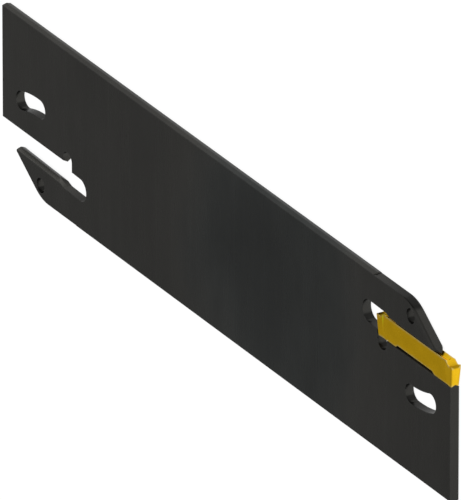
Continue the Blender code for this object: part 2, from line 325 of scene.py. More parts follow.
class StudioSettings(bpy.types.PropertyGroup):
    lens: bpy.props.FloatProperty(
        name="Lens", description="Focal length of the long lens, in mm", default=1500
    )
    floor_glow: bpy.props.FloatProperty(
        name="Floor glow",
        description="Share of the floor's white that shadows can't reach",
        default=0.86,
        subtype="FACTOR",
        min=0,
        max=1,
    )
    table: bpy.props.FloatProperty(
        name="Table", description="Brightness below the horizon that the gloss sees", default=1.1
    )
    ceiling: bpy.props.FloatProperty(
        name="Ceiling", description="Brightness above the horizon that the gloss sees", default=0.45
    )
    surround: bpy.props.FloatProperty(
        name="Surround", description="Brightness of the studio around the part", default=0.42
    )
    key_power: bpy.props.FloatProperty(
        name="Key light", description="Power of the overhead softbox, in watts", default=26
    )
    fill_power: bpy.props.FloatProperty(
        name="Fill light", description="Power of the side softbox, in watts", default=8
    )


def column(values):
    """An array of one number per level, shaped to scale 2D vectors."""
    return np.asarray(values, float)[:, None]


def unit(angle):
    return np.stack([np.cos(angle), np.sin(angle)], axis=-1)


def inward(way):
    """The direction into the metal beside an edge that is followed with the metal on its left."""
    return np.stack([-way[..., 1], way[..., 0]], axis=-1)


def edge_line(point, way, inset):
    """A straight edge at every level: a point on it, moved into the metal, and its direction."""
    way = np.asarray(way, float)
    return np.asarray(point, float) + inward(way) * column(inset), way


def meet(first, second):
    """Where two straight edges cross, at every level."""
    (p, a), (q, b) = first, second
    gap = q - p
    turn = a[..., 0] * b[..., 1] - a[..., 1] * b[..., 0]
    along = (gap[:, 0] * b[..., 1] - gap[:, 1] * b[..., 0]) / turn
    return (p + a * column(along))[:, None, :]


def arc(centre, radius, start, end, count):
    """Points of a circle from one angle to another, at every level: levels by points by 2."""
    share = np.linspace(0, 1, count)[None, :]
    start, end, radius = (np.asarray(v, float).reshape(-1, 1) for v in (start, end, radius))
    angle = start + (end - start) * share
    round_point = np.stack([np.cos(angle), np.sin(angle)], axis=-1)
    return np.asarray(centre, float).reshape(-1, 1, 2) + radius[..., None] * round_point


def fillet(first, second, radius, start, end, count):
    """A round corner of the metal between two edges given as point, way and inset."""
    inner = [edge_line(point, way, inset + radius) for point, way, inset in (first, second)]
    return arc(meet(*inner), radius, start, end, count)


class Levels:
    """The stations through the blade's thickness, from the upper face to the lower one.

    inset is how far an arris is broken back, wall is 1 below the broken arris, and guide,
    rail and bevel are how far the flanks of a guide edge, of a V rail and of a finger's
    round bevel lie behind their crests.
    """

    def __init__(self, blade):
        half = blade.thickness / 2
        turn = BREAK_TURNS
        broken = half - blade.edge_break * (1 - np.cos(turn))
        bevel_wall = half - FINGER_BEVEL * np.array([0.2, 0.35, 0.5, 0.65, 0.8, 1.0])
        flank = np.linspace(half - FINGER_BEVEL, RAIL_CREST / 2, 6)[1:]
        upper = np.concatenate([[half], broken, bevel_wall, flank, [blade.guide_crest / 2]])
        inset = np.zeros_like(upper)
        inset[0] = blade.edge_break + blade.wear_band
        inset[1 : 1 + len(turn)] = blade.edge_break * (1 - np.sin(turn))
        wear = np.zeros_like(upper)
        wear[1 : 1 + len(turn)] = 1
        wall = np.ones_like(upper)
        wall[:2] = 0
        self.wall = np.concatenate([wall, wall[::-1]])
        self.z = np.concatenate([upper, -upper[::-1]])
        self.inset = np.concatenate([inset, inset[::-1]])
        self.wear = np.concatenate([wear, wear[::-1]])
        away = np.abs(self.z)
        self.guide = np.maximum(away - blade.guide_crest / 2, 0) * math.tan(blade.guide_angle)
        self.rail = np.maximum(away - RAIL_CREST / 2, 0) * math.tan(RAIL_FLANK_ANGLE)
        into_bevel = np.maximum(away - half + FINGER_BEVEL, 0)
        self.bevel = FINGER_BEVEL - np.sqrt(FINGER_BEVEL**2 - into_bevel**2)
        self.guide_rise = (half - blade.guide_crest / 2) * math.tan(blade.guide_angle)
        self.rail_rise = (half - RAIL_CREST / 2) * math.tan(RAIL_FLANK_ANGLE)

    def tip_radius(self, at_face, at_crest):
        """A finger tip's radius at each level, even from the crest to the faces."""
        share = np.abs(self.z) / self.z[0]
        return np.maximum(at_crest + (at_face - at_crest) * share - self.inset, LEAST_TIP_RADIUS)


class Pocket:
    """The places of one end that follow from the sizes, in that end's own plane.

    x is 0 at the blade's end and falls inwards, and y is 0 at the seat.
    """

    def __init__(self, blade, insert, levels, closing):
        self.seat = blade.height / 2 - EDGE_DROP - insert.height - SEAT_GAP
        self.floor = -self.seat - blade.height / 2
        self.top = blade.height / 2 - self.seat
        self.finger_top = self.top - levels.guide_rise - FINGER_TOP_RELIEF
        lean = (insert.height + SEAT_GAP - STOP_HEIGHT) * FRONT_CLEARANCE
        self.stop = insert.length - OVERHANG - lean + STOP_GAP
        self.ramp_top = self.stop - RAMP_TOP_INSET
        self.root = self.ramp_top - FINGER_STEP / math.tan(RAMP_ANGLE)
        self.root_height = SEAT_GAP + RIB_HEIGHT + ROOT_GAP
        held = math.atan2(ROOT_GAP - CLAMP_GAP, self.root - CLAMP_DEPTH)
        self.taper = held + closing


def relief_and_slot(pocket, levels):
    """The seat, the corner relief, the stop and the slot with its round end.

    Each part is its points and the kind of wall that stands on them.
    """
    seat = levels.rail_rise - levels.rail - levels.inset
    centre = np.array([RELIEF_RADIUS - pocket.stop, -RELIEF_DROP])
    radius = RELIEF_RADIUS + levels.inset
    start = np.arcsin((seat - centre[1]) / radius)
    relief = arc(centre, radius, start, -math.pi, ARC_POINTS)
    out = unit(-SLOT_TAPER)
    near_point = np.array([-pocket.stop, STOP_HEIGHT])
    far_point = np.array([-pocket.ramp_top, pocket.root_height + FINGER_STEP])
    stop = edge_line(near_point, (0, 1), levels.inset)
    near = edge_line(near_point, -out, levels.inset)
    across = inward(out)
    slot_radius = (far_point - near_point) @ across / 2
    slot_centre = near_point + across * slot_radius - out * SLOT_REACH
    slot = arc(
        slot_centre,
        slot_radius + levels.inset,
        1.5 * math.pi - SLOT_TAPER,
        0.5 * math.pi - SLOT_TAPER,
        ARC_POINTS,
    )
    seat_end = np.stack([-levels.inset, seat], axis=-1)[:, None, :]
    parts = [(seat_end, PLAIN), (relief, HOLLOW), (meet(stop, near), PLAIN), (slot, HOLLOW)]
    return parts, edge_line(far_point, out, levels.inset)


def finger(pocket, levels, slot_side, closing):
    """The ramp, the rail, the round tip, the bevelled slope and the shoulder, as such parts.

    The bevel's lower edge leans a little against the slope, so that it thins out to the tip.
    """
    far_point = np.array([-pocket.ramp_top, pocket.root_height + FINGER_STEP])
    ramp = edge_line(far_point, unit(-RAMP_ANGLE), levels.inset)
    under_way = unit(-pocket.taper)
    crest = np.array([-pocket.root, pocket.root_height]) - inward(under_way) * levels.rail_rise
    under = (crest, under_way, levels.rail + levels.inset)
    shoulder = np.array([-SHOULDER_DEPTH, pocket.finger_top])
    slope_length = (SHOULDER_DEPTH - CLAMP_DEPTH) / math.cos(FINGER_SLOPE)
    slope_lean = FINGER_SLOPE - levels.bevel * BEVEL_FADE / slope_length
    slope = (shoulder, -unit(-slope_lean), levels.bevel + levels.inset)
    top = (shoulder, (-1, 0), levels.inset)
    under_angle = -math.pi / 2 - pocket.taper
    slope_angle = math.pi / 2 - slope_lean
    tip_radius = levels.tip_radius(*(FREE_TIP_RADII if closing else HELD_TIP_RADII))
    tip = fillet(under, slope, tip_radius, under_angle, slope_angle, TIP_POINTS)
    round_shoulder = fillet(
        slope, top, SHOULDER_RADIUS - levels.inset, slope_angle, math.pi / 2, SHOULDER_POINTS
    )
    ramp_foot, ramp_end = meet(slot_side, ramp), meet(ramp, edge_line(*under))
    rail = FREE_RAIL if closing else PLAIN
    parts = [(ramp_foot, PLAIN), (ramp_end, rail), (tip[:, :1], rail)]
    parts += [(tip[:, 1:], BEVELLED), (round_shoulder, SHOULDER)]
    return parts, edge_line(*top)


def end_outline(blade, pocket, levels, closing):
    """One end of the blade, from the lower corner round to where the upper guide edge starts.

    Returns the points, and for each the kind of wall that stands on it.
    """
    corner = np.stack(
        [-levels.inset, pocket.floor + levels.guide + levels.inset], axis=-1
    )[:, None, :]
    inner, slot_side = relief_and_slot(pocket, levels)
    outer, top = finger(pocket, levels, slot_side, closing)
    runout_way = np.array([-FINGER_TOP_RUNOUT, RUNOUT_RISE])
    runout_way /= np.linalg.norm(runout_way)
    runout_start = (-FINGER_TOP_LENGTH, pocket.finger_top)
    runout = edge_line(runout_start, runout_way, levels.inset)
    guide = edge_line((0, pocket.top), (-1, 0), levels.guide + levels.inset)
    parts = [(corner, PLAIN), *inner, *outer, (meet(top, runout), PLAIN), (meet(runout, guide), PLAIN)]
    kinds = [np.full(points.shape[1], kind) for points, kind in parts]
    return np.concatenate([points for points, _ in parts], axis=1), np.concatenate(kinds)


def key_hole(pocket, levels):
    """A circle followed clockwise, so that the metal is on its left."""
    centre = (-KEY_HOLE_DEPTH, pocket.finger_top - KEY_HOLE_INSET)
    radius = KEY_HOLE_RADIUS + np.minimum(levels.inset, KEY_HOLE_BAND)
    whole = arc(centre, radius, 2 * math.pi, 0, CIRCLE_POINTS + 1)
    return whole[:, :-1]


def key_slot(levels):
    """A slot bent round an arc, with round ends, followed clockwise."""
    centre = np.array([-KEY_SLOT_DEPTH, KEY_SLOT_SWEEP - KEY_SLOT_DROP])
    half = KEY_SLOT_WIDTH / 2 + levels.inset
    inner = -math.pi / 2 - KEY_SLOT_INNER
    outer = -math.pi / 2 + KEY_SLOT_OUTER
    inner_centre = centre + KEY_SLOT_SWEEP * unit(inner)
    outer_centre = centre + KEY_SLOT_SWEEP * unit(outer)
    loop = [
        arc(centre, KEY_SLOT_SWEEP + half, inner, outer, SHOULDER_POINTS)[:, 1:-1],
        arc(outer_centre, half, outer, outer + math.pi, ARC_POINTS),
        arc(centre, KEY_SLOT_SWEEP - half, outer, inner, SHOULDER_POINTS)[:, 1:-1],
        arc(inner_centre, half, inner + math.pi, inner + 2 * math.pi, ARC_POINTS),
    ]
    return np.concatenate(loop, axis=1)[:, ::-1]


def wall_faces(first, levels, points):
    """Quads of a closed wall whose vertices are stored level by level."""
    row, col = np.meshgrid(np.arange(levels - 1), np.arange(points), indexing="ij")
    after = (col + 1) % points
    corners = [row * points + col, (row + 1) * points + col]
    corners += [(row + 1) * points + after, row * points + after]
    return first + np.stack(corners, axis=-1).reshape(-1, 4)


def cap_faces(loops, firsts, upwards):
    """Triangles that fill the first loop around the others."""
    apart = [np.linalg.norm(loop - np.roll(loop, 1, axis=0), axis=1) > MERGE for loop in loops]
    index = np.concatenate([first + np.flatnonzero(kept) for first, kept in zip(firsts, apart)])
    loops = [loop[kept] for loop, kept in zip(loops, apart)]
    flat = [[Vector((x / MM, y / MM, 0)) for x, y in loop] for loop in loops]
    triangles = np.array(tessellate_polygon(flat))
    place = np.concatenate(loops)
    a, b, c = (place[triangles[:, k]] for k in range(3))
    turn = (b[:, 0] - a[:, 0]) * (c[:, 1] - a[:, 1]) - (b[:, 1] - a[:, 1]) * (c[:, 0] - a[:, 0])
    wrong = (turn < 0) == upwards
    triangles[wrong] = triangles[wrong][:, ::-1]
    return index[triangles]


def new_piece(name, points, faces, traits, sharp):
    """A mesh object at the origin, with its doubles merged and its traits kept per vertex."""
    mesh = bpy.data.meshes.new(name)
    mesh.from_pydata(points, [], faces)
    for trait, values in traits.items():
        attribute = mesh.attributes.new(trait, "FLOAT", "POINT")
        attribute.data.foreach_set("value", values.astype(np.float32))
    shape = bmesh.new()
    shape.from_mesh(mesh)
    bmesh.ops.remove_doubles(shape, verts=shape.verts, dist=MERGE)
    bmesh.ops.dissolve_degenerate(shape, dist=MERGE, edges=shape.edges)
    shape.to_mesh(mesh)
    shape.free()
    mesh.shade_smooth()
    mesh.set_sharp_from_angle(angle=sharp)
    piece = bpy.data.objects.new(name, mesh)
    bpy.context.scene.collection.objects.link(piece)
    return piece


def painted_wall_shade(levels, loop, kinds):
    """Painted shade of the walls: 1 on plain ones, and darker where a hollow or a shoulder faces a dark
    way.

    The way a wall faces is at right angles to the run of the outline there. The caps and
    the broken arrises beside them keep a value of 1, with no painted shade.
    """
    run = np.roll(loop, -1, axis=1) - np.roll(loop, 1, axis=1)
    facing = np.arctan2(-run[..., 0], run[..., 1])
    tone = np.ones(facing.shape)
    for kind, windows in ((HOLLOW, HOLLOW_PAINTED_SHADE), (SHOULDER, SHOULDER_PAINTED_SHADE)):
        for middle, half, fade, depth in windows:
            away = np.abs((facing - middle + math.pi) % (2 * math.pi) - math.pi)
            tone -= (kinds == kind) * depth * smooth_step((half + fade - away) / fade)
    flank = np.where(levels.z > 0, *RAIL_PAINTED_SHADES)[:, None]
    tone = np.where(kinds == FREE_RAIL, flank, tone)
    return np.where(levels.wall[:, None] > 0, tone, 1)


def blade_surface(blade, insert):
    """Vertices, faces, and wear and painted light and shade of the whole blade.

    At each level z the outline is the crest outline moved into the metal by the broken
    arris plus, beside a V edge or bevel, the depth of its flank at that z.
    """
    levels = Levels(blade)
    to_end = np.array([blade.length / 2, 0])
    outline, kinds, holes = [], [], []
    for turn, closing in ((1, 0.0), (-1, SPRING_ANGLE)):
        pocket = Pocket(blade, insert, levels, closing)
        shift = to_end + (0, pocket.seat)
        end, end_kinds = end_outline(blade, pocket, levels, closing)
        outline.append(turn * (end + shift))
        kinds.append(end_kinds)
        holes += [turn * (key_hole(pocket, levels) + shift), turn * (key_slot(levels) + shift)]
    loops = [np.concatenate(outline, axis=1), *holes]
    kinds = [np.concatenate(kinds)] + [np.full(hole.shape[1], HOLLOW) for hole in holes]
    centre = np.array([-OVERHANG / 2, 0, insert.width / 2])
    points, faces, wear, tone, firsts = [], [], [], [], []
    first = 0
    for loop, kind in zip(loops, kinds):
        count = loop.shape[1]
        depth = np.repeat(levels.z[:, None, None], count, axis=1)
        points.append((np.concatenate([loop, depth], axis=-1) + centre).reshape(-1, 3))
        sharp = (kind != BEVELLED) & (kind != SHOULDER)
        wear.append((levels.wear[:, None] * sharp).reshape(-1))
        tone.append(painted_wall_shade(levels, loop, kind).reshape(-1))
        faces += wall_faces(first, len(levels.z), count).tolist()
        firsts.append(first)
        first += loop.shape[0] * count
    lasts = [f + (loop.shape[0] - 1) * loop.shape[1] for f, loop in zip(firsts, loops)]
    faces += cap_faces([loop[0] for loop in loops], firsts, True).tolist()
    faces += cap_faces([loop[-1] for loop in loops], lasts, False).tolist()
    return np.concatenate(points), faces, {"wear": np.concatenate(wear), "tone": np.concatenate(tone)}


def smooth_step(value):
    value = np.clip(value, 0, 1)
    return value * value * (3 - 2 * value)


def insert_stations(insert):
    """Places along half the insert, measured back from a cutting edge, with every break in it."""
    corner = insert.corner_radius * (1 - np.cos(np.radians(np.arange(0, 91, 10))))
    foot = insert.height * FRONT_CLEARANCE + FOOT_LENGTH
    breaks = [LAND_WIDTH, HEAD_LENGTH, HEAD_LENGTH + step_length(insert), foot, foot + RECESS_RAMP]
    breaks += [0.03 * MM, 0.07 * MM, 0.12 * MM, 0.21 * MM, 0.24 * MM]
    former = np.arange(insert.corner_radius, 3.2 * MM, 0.07 * MM)
    shank = np.linspace(3.2 * MM, insert.length / 2, 18)
    return np.unique(np.round(np.concatenate([corner, breaks, former, shank]), 8))


def chip_former(insert, back, across):
    """Height of the chip former: a slanted land, a scoop behind it, and a wall up to the rib.

    Scoop and wall are smooth steps along the insert, one down and one up, and the wall's
    foot bulges forward in the middle. The land itself dips between its two corners.
    """
    side = np.clip(np.abs(across) / (insert.width / 2), 0, 1)
    foot = WALL_FOOT - WALL_NOSE * (1 - side**2)
    scoop = SCOOP_DEPTH * (1 - 0.3 * side**2) * smooth_step((back - LAND_WIDTH) / (0.7 * foot))
    land = LAND_DROP * np.clip(1 - back / LAND_WIDTH, 0, 1)
    drop = EDGE_DIP * (1 - side**8) + scoop + land
    climb = smooth_step((back - foot) / WALL_LENGTH)
    return insert.height - drop * (1 - climb) + (RIB_HEIGHT - insert.height) * climb


def insert_top(insert, rail_rise, back, across):
    """The top: the lower of the chip former and the V groove that the finger's rail lies in."""
    slope = math.tan(RAIL_FLANK_ANGLE)
    depth = np.maximum(rail_rise - slope * np.maximum(np.abs(across) - RAIL_CREST / 2, 0), 0)
    run_in = smooth_step((back - GROOVE_START) / GROOVE_RUN_IN)
    groove = RIB_HEIGHT - depth * (GROOVE_END_SHARE + (1 - GROOVE_END_SHARE) * run_in)
    return np.minimum(groove, chip_former(insert, back, across))


def insert_bottom(insert, rail_rise, back, across):
    """The underside: the higher of the V groove over the seat's rail and the recess."""
    slope = math.tan(RAIL_FLANK_ANGLE)
    groove = np.maximum(rail_rise - slope * np.maximum(np.abs(across) - RAIL_CREST / 2, 0), 0)
    foot = insert.height * FRONT_CLEARANCE + FOOT_LENGTH
    recess = RECESS_DEPTH * np.clip((back - foot) / RECESS_RAMP, 0, 1)
    return np.maximum(groove, recess)


def insert_side(insert, back, height):
    """Half the width: the head, its step down to the waist, the clearance and the round corner."""
    wide = insert.width / 2
    head = wide - back * HEAD_RELIEF
    waist = np.maximum(head - np.maximum(back - HEAD_LENGTH, 0) * HEAD_STEP, WAIST_WIDTH / 2)
    leaning = wide - SIDE_CLEARANCE * np.maximum(insert.height - height, 0)
    leaning = leaning - np.minimum(back, HEAD_LENGTH) * HEAD_RELIEF
    radius = insert.corner_radius
    inside = np.clip(radius - back, 0, radius)
    rounded = radius - np.sqrt(np.maximum(radius**2 - inside**2, 0))
    return np.minimum(waist, leaning) - rounded


def edge_wear(z, y, corners):
    """How near each point is to an edge of the pale strips: 1 on it and 0 beyond their reach."""
    away = np.full(z.shape, np.inf)
    for corner_z, corner_y in corners:
        away = np.minimum(away, np.hypot(np.abs(z) - corner_z, y - corner_y))
    return np.clip(1 - away / WEAR_REACH, 0, 1)


def painted_top_shade(back, sign):
    """Painted light and shade of the top: dark on the honed land, light from the wall on, and dark under
    the finger.
    """
    rise = (back - LAND_WIDTH) / (WALL_FOOT + WALL_LENGTH / 2 - LAND_WIDTH)
    tone = LAND_PAINTED_SHADE + (WALL_PAINTED_LIGHT - LAND_PAINTED_SHADE) * smooth_step(rise)
    start, full = COVERED_REACH
    covered = np.where(sign > 0, smooth_step((back - start) / (full - start)), 1)
    return tone + (COVERED_PAINTED_SHADE - tone) * covered


def step_length(insert):
    """Length of the step by which the head narrows to the waist."""
    return (insert.width / 2 - HEAD_LENGTH * HEAD_RELIEF - WAIST_WIDTH / 2) / HEAD_STEP


def insert_surface(insert, rise):
    """Vertices, faces, wear and painted light and shade of the insert: a closed section carried from edge
    to edge.

    The section at each station runs over the top, round an edge, down one side, round
    the lower edge, back along the underside, and up the other side.
    """
    reach = insert.length / 2
    stations = insert_stations(insert)
    back = np.concatenate([stations, stations[:-1][::-1]])[:, None]
    sign = np.concatenate([np.ones(len(stations)), -np.ones(len(stations) - 1)])[:, None]
    r = insert.rounding
    turn = np.radians(np.linspace(90, 0, 6))[None, :]
    share = np.linspace(-1, 1, 49)[None, :]

    wide = insert_side(insert, back, insert.height)
    low = insert_side(insert, back, r)
    for _ in range(3):
        edge_top = insert_top(insert, rise, back, wide - r)
        wide = insert_side(insert, back, edge_top - r)
        edge_low = insert_bottom(insert, rise, back, low - r)
        low = insert_side(insert, back, edge_low + r)

    top_z = share * (wide - r)
    top_y = insert_top(insert, rise, back, top_z)
    shoulder_z = wide - r + r * np.cos(turn)
    shoulder_y = edge_top - r + r * np.sin(turn)
    near = np.array([0.4, 1.0, 1.8]) * WEAR_REACH
    tall = edge_top - edge_low - 2 * r
    between = np.linspace(0.2, 0.8, 8) + 0 * tall
    drop = np.concatenate([near / tall, between, 1 - near[::-1] / tall], axis=1)
    wall_y = edge_top - r - tall * drop
    wall_z = insert_side(insert, back, wall_y)
    hip_z = low - r + r * np.cos(turn[:, ::-1])
    hip_y = edge_low + r - r * np.sin(turn[:, ::-1])
    base_z = -share * (low - r)
    base_y = insert_bottom(insert, rise, back, base_z)

    half_z = np.concatenate([shoulder_z[:, 1:], wall_z, hip_z[:, :-1]], axis=1)
    half_y = np.concatenate([shoulder_y[:, 1:], wall_y, hip_y[:, :-1]], axis=1)
    z = np.concatenate([top_z, half_z, base_z, -half_z[:, ::-1]], axis=1)
    y = np.concatenate([top_y, half_y, base_y, half_y[:, ::-1]], axis=1)
    lean = smooth_step(1 - back / LEAN_REACH) * FRONT_CLEARANCE * np.maximum(insert.height - y, 0)
    x = sign * (reach - back - lean)
    wear = edge_wear(z, y, ((wide, edge_top), (low, edge_low)))
    past = back - HEAD_LENGTH
    on_step = (sign < 0) & (past > -MERGE) & (past < step_length(insert) + MERGE)
    # painted highlight up the rear head's step, then painted light and shade over the top
    tone = 1 + STEP_PAINTED_HIGHLIGHT * on_step * smooth_step(y / RIB_HEIGHT)**2
    tone[:, :top_z.shape[1]] = painted_top_shade(back, sign)

    points = np.stack([x, y, z], axis=-1)
    points = np.concatenate([front_ring(points[:1]), points, front_ring(points[-1:])])
    front = np.ones((1, z.shape[1]))
    wear = np.concatenate([0 * front, wear, 0 * front])
    # the front faces painted lighter
    tone = np.concatenate([FRONT_PAINTED_LIGHT * front, tone, FRONT_PAINTED_LIGHT * front])
    rows, cols = wear.shape
    faces = wall_faces(0, rows, cols).tolist()
    faces.append(list(range(cols)))
    faces.append(list(range((rows - 1) * cols, rows * cols))[::-1])
    return points.reshape(-1, 3), faces, {"wear": wear.reshape(-1), "tone": tone.reshape(-1)}


def front_ring(section):
    """A copy of an end section, shrunk about its middle by the reach of the wear."""
    low, high = section.min(axis=1), section.max(axis=1)
    middle, half = (low + high) / 2, (high - low) / 2
    shrink = (half - WEAR_REACH) / half
    shrink[:, 0] = 1
    return middle + (section - middle) * shrink


def float_socket(tree, name, direction, default=0.0):
    socket = tree.interface.new_socket(name, in_out=direction, socket_type="NodeSocketFloat")
    if direction == "INPUT":
        socket.default_value = default
    return socket


def link(tree, source, target):
    tree.links.new(source, target)


def maths(tree, operation, first, second=None):
    """A Math node on two sockets or numbers."""
    node = tree.nodes.new("ShaderNodeMath")
    node.operation = operation
    for socket, value in zip(node.inputs, (first, second)):
        if value is None:
            continue
        if isinstance(value, (int, float)):
            socket.default_value = value
        else:
            link(tree, value, socket)
    return node.outputs[0]


def noise(tree, place, scale, detail, roughness):
    node = tree.nodes.new("ShaderNodeTexNoise")
    node.inputs["Scale"].default_value = scale
    node.inputs["Detail"].default_value = detail
    node.inputs["Roughness"].default_value = roughness
    link(tree, place, node.inputs["Vector"])
    return node.outputs["Fac"]


def stretched(tree, place, scale):
    """Object coordinates scaled by a different amount along each axis."""
    node = tree.nodes.new("ShaderNodeMapping")
    node.inputs["Scale"].default_value = scale
    link(tree, place, node.inputs["Vector"])
    return node.outputs["Vector"]


def grinding_group():
    """Grinding marks that run across the blade: coarse and fine streaks, as a value about 0."""
    tree = bpy.data.node_groups.new("grinding_marks", "ShaderNodeTree")
    tree.interface.new_socket("Place", in_out="INPUT", socket_type="NodeSocketVector")
    float_socket(tree, "Coarse", "INPUT", 0.5)
    float_socket(tree, "Fine", "INPUT", 0.5)
    float_socket(tree, "Marks", "OUTPUT")
    given = tree.nodes.new("NodeGroupInput")
    put = tree.nodes.new("NodeGroupOutput")
    coarse = noise(tree, stretched(tree, given.outputs["Place"], (420, 22, 60)), 1, 3, 0.55)
    fine = noise(tree, stretched(tree, given.outputs["Place"], (5200, 90, 900)), 1, 2, 0.6)
    coarse = maths(tree, "MULTIPLY", maths(tree, "SUBTRACT", coarse, 0.5), given.outputs["Coarse"])
    fine = maths(tree, "MULTIPLY", maths(tree, "SUBTRACT", fine, 0.5), given.outputs["Fine"])
    link(tree, maths(tree, "ADD", coarse, fine), put.inputs["Marks"])
    return tree


def wear_group():
    """Where an edge is rubbed: the piece's own wear value, broken up by noise."""
    tree = bpy.data.node_groups.new("edge_wear", "ShaderNodeTree")
    tree.interface.new_socket("Place", in_out="INPUT", socket_type="NodeSocketVector")
    float_socket(tree, "Wear", "INPUT")
    float_socket(tree, "Scale", "INPUT", 1000)
    float_socket(tree, "Amount", "INPUT", 0.5)
    float_socket(tree, "Mask", "OUTPUT")
    given = tree.nodes.new("NodeGroupInput")
    put = tree.nodes.new("NodeGroupOutput")
    patch = tree.nodes.new("ShaderNodeTexNoise")
    patch.inputs["Detail"].default_value = 3
    link(tree, given.outputs["Place"], patch.inputs["Vector"])
    link(tree, given.outputs["Scale"], patch.inputs["Scale"])
    spread = tree.nodes.new("ShaderNodeMapRange")
    spread.inputs["From Min"].default_value = 0.3
    spread.inputs["From Max"].default_value = 0.65
    link(tree, patch.outputs["Fac"], spread.inputs["Value"])
    mask = maths(tree, "MULTIPLY", given.outputs["Wear"], spread.outputs["Result"])
    link(tree, maths(tree, "MULTIPLY", mask, given.outputs["Amount"]), put.inputs["Mask"])
    return tree


def place_group(tree, group, values, place):
    node = tree.nodes.new("ShaderNodeGroup")
    node.node_tree = group
    for name, value in values.items():
        node.inputs[name].default_value = value
    link(tree, place, node.inputs["Place"])
    return node


def mixed_colour(tree, factor, first, second):
    """A blend from a plain colour, or a colour socket, to another."""
    node = tree.nodes.new("ShaderNodeMix")
    node.data_type = "RGBA"
    link(tree, factor, node.inputs["Factor"])
    for socket, value in ((node.inputs["A"], first), (node.inputs["B"], second)):
        if isinstance(value, bpy.types.NodeSocket):
            link(tree, value, socket)
        else:
            socket.default_value = (*value, 1)
    return node.outputs["Result"]


def brightened(tree, colour, factor):
    """A colour multiplied by a value that changes over the surface."""
    node = tree.nodes.new("ShaderNodeVectorMath")
    node.operation = "SCALE"
    link(tree, colour, node.inputs[0])
    link(tree, factor, node.inputs["Scale"])
    return node.outputs["Vector"]


def trait(tree, name):
    """A value that the piece keeps per vertex."""
    node = tree.nodes.new("ShaderNodeAttribute")
    node.attribute_name = name
    return node.outputs["Fac"]


def map_range(tree, value, start, end, low, high):
    """A value carried smoothly from one range to another, and held at both ends."""
    node = tree.nodes.new("ShaderNodeMapRange")
    node.interpolation_type = "SMOOTHSTEP"
    for name, number in (("From Min", start), ("From Max", end), ("To Min", low), ("To Max", high)):
        node.inputs[name].default_value = number
    link(tree, value, node.inputs["Value"])
    return node.outputs["Result"]


def new_material(name):
    """A material with its Principled shader and object coordinates."""
    material = bpy.data.materials.new(name)
    material.use_nodes = True
    tree = material.node_tree
    shader = tree.nodes["Principled BSDF"]
    place = tree.nodes.new("ShaderNodeTexCoord").outputs["Object"]
    return material, tree, shader, place


def add_bump(tree, shader, height, distance, strength):
    bump = tree.nodes.new("ShaderNodeBump")
    bump.inputs["Distance"].default_value = distance
    bump.inputs["Strength"].default_value = strength
    link(tree, height, bump.inputs["Height"])
    link(tree, bump.outputs["Normal"], shader.inputs["Normal"])


# A painted reflection: a broad dark oval past the middle of the blade, with a pale rim
REFLECTION_CENTRE = (16 * MM, 0)
REFLECTION_REACH = (21 * MM, 21 * MM)
REFLECTION_RAGGED = 0.5  # how much clouds push its rim in and out
REFLECTION_SHADE = ((0.0, 0.81), (0.24, 0.81), (0.42, 1.24), (0.62, 0.98))  # share of the reach over 3, shade
END_REFLECTION_SHADES = (1.2, 1.0)  # painted reflection: at the free end, painted lighter, and from FALL_END on
FALL_END = -26 * MM
WITNESS_LINES = (-38.8 * MM, 70.2 * MM)
WITNESS_WIDTH = 0.35 * MM
WITNESS_SHADE = 0.07
HIGHLIGHT_REACH = (0.2 * MM, 0.5 * MM, 1.7 * MM)  # of the painted highlight band, in from the finger's slope
HIGHLIGHT_SHADE = 0.32


def reflection_distance(tree, place, clouds):
    """Distance from the centre of the painted reflection's oval in shares of its reach, made ragged by
    clouds.
    """
    node = tree.nodes.new("ShaderNodeMapping")
    scale = [1 / reach for reach in REFLECTION_REACH]
    node.inputs["Scale"].default_value = (*scale, 0)
    node.inputs["Location"].default_value = (*(-c * k for c, k in zip(REFLECTION_CENTRE, scale)), 0)
    link(tree, place, node.inputs["Vector"])
    length = tree.nodes.new("ShaderNodeVectorMath")
    length.operation = "LENGTH"
    link(tree, node.outputs["Vector"], length.inputs[0])
    ragged = maths(tree, "MULTIPLY", maths(tree, "SUBTRACT", clouds, 0.5), 2 * REFLECTION_RAGGED)
    return maths(tree, "ADD", length.outputs["Value"], ragged)


def painted_reflection_shade(tree, distance):
    """Painted reflection: dark inside the oval, a little light round its rim and plain far from it."""
    ramp = tree.nodes.new("ShaderNodeValToRGB")
    ramp.color_ramp.interpolation = "B_SPLINE"
    stops = ramp.color_ramp.elements
    while len(stops) < len(REFLECTION_SHADE):
        stops.new(1)
    for stop, (position, value) in zip(stops, REFLECTION_SHADE):
        stop.position = position
        stop.color = (value / 2, value / 2, value / 2, 1)
    link(tree, maths(tree, "DIVIDE", distance, 3.0), ramp.inputs["Fac"])
    return maths(tree, "MULTIPLY", ramp.outputs["Color"], 2.0)


def witness_lines(tree, along):
    """Two faint pale lines across the blade, as a value about 0."""
    lines = 0.0
    for place in WITNESS_LINES:
        away = maths(tree, "ABSOLUTE", maths(tree, "SUBTRACT", along, place))
        line = map_range(tree, away, 0.0, WITNESS_WIDTH, WITNESS_SHADE, 0.0)
        lines = maths(tree, "ADD", line, lines)
    return lines


def slope_highlight(tree, place, blade):
    """A painted highlight: a soft light band on the face along the finger's slope, by the distance in
    from the slope.
    """
    across = np.array([math.sin(FINGER_SLOPE), math.cos(FINGER_SLOPE), 0])
    shoulder = np.array([(blade.length - OVERHANG) / 2 - SHOULDER_DEPTH, blade.height / 2, 0])
    node = tree.nodes.new("ShaderNodeVectorMath")
    node.operation = "DOT_PRODUCT"
    link(tree, place, node.inputs[0])
    node.inputs[1].default_value = -across
    inside = maths(tree, "ADD", node.outputs["Value"], float(across @ shoulder))
    start, peak, end = HIGHLIGHT_REACH
    rise = map_range(tree, inside, start, peak, 0.0, 1.0)
    return maths(tree, "MULTIPLY", rise, map_range(tree, inside, peak, end, HIGHLIGHT_SHADE, 0.0))


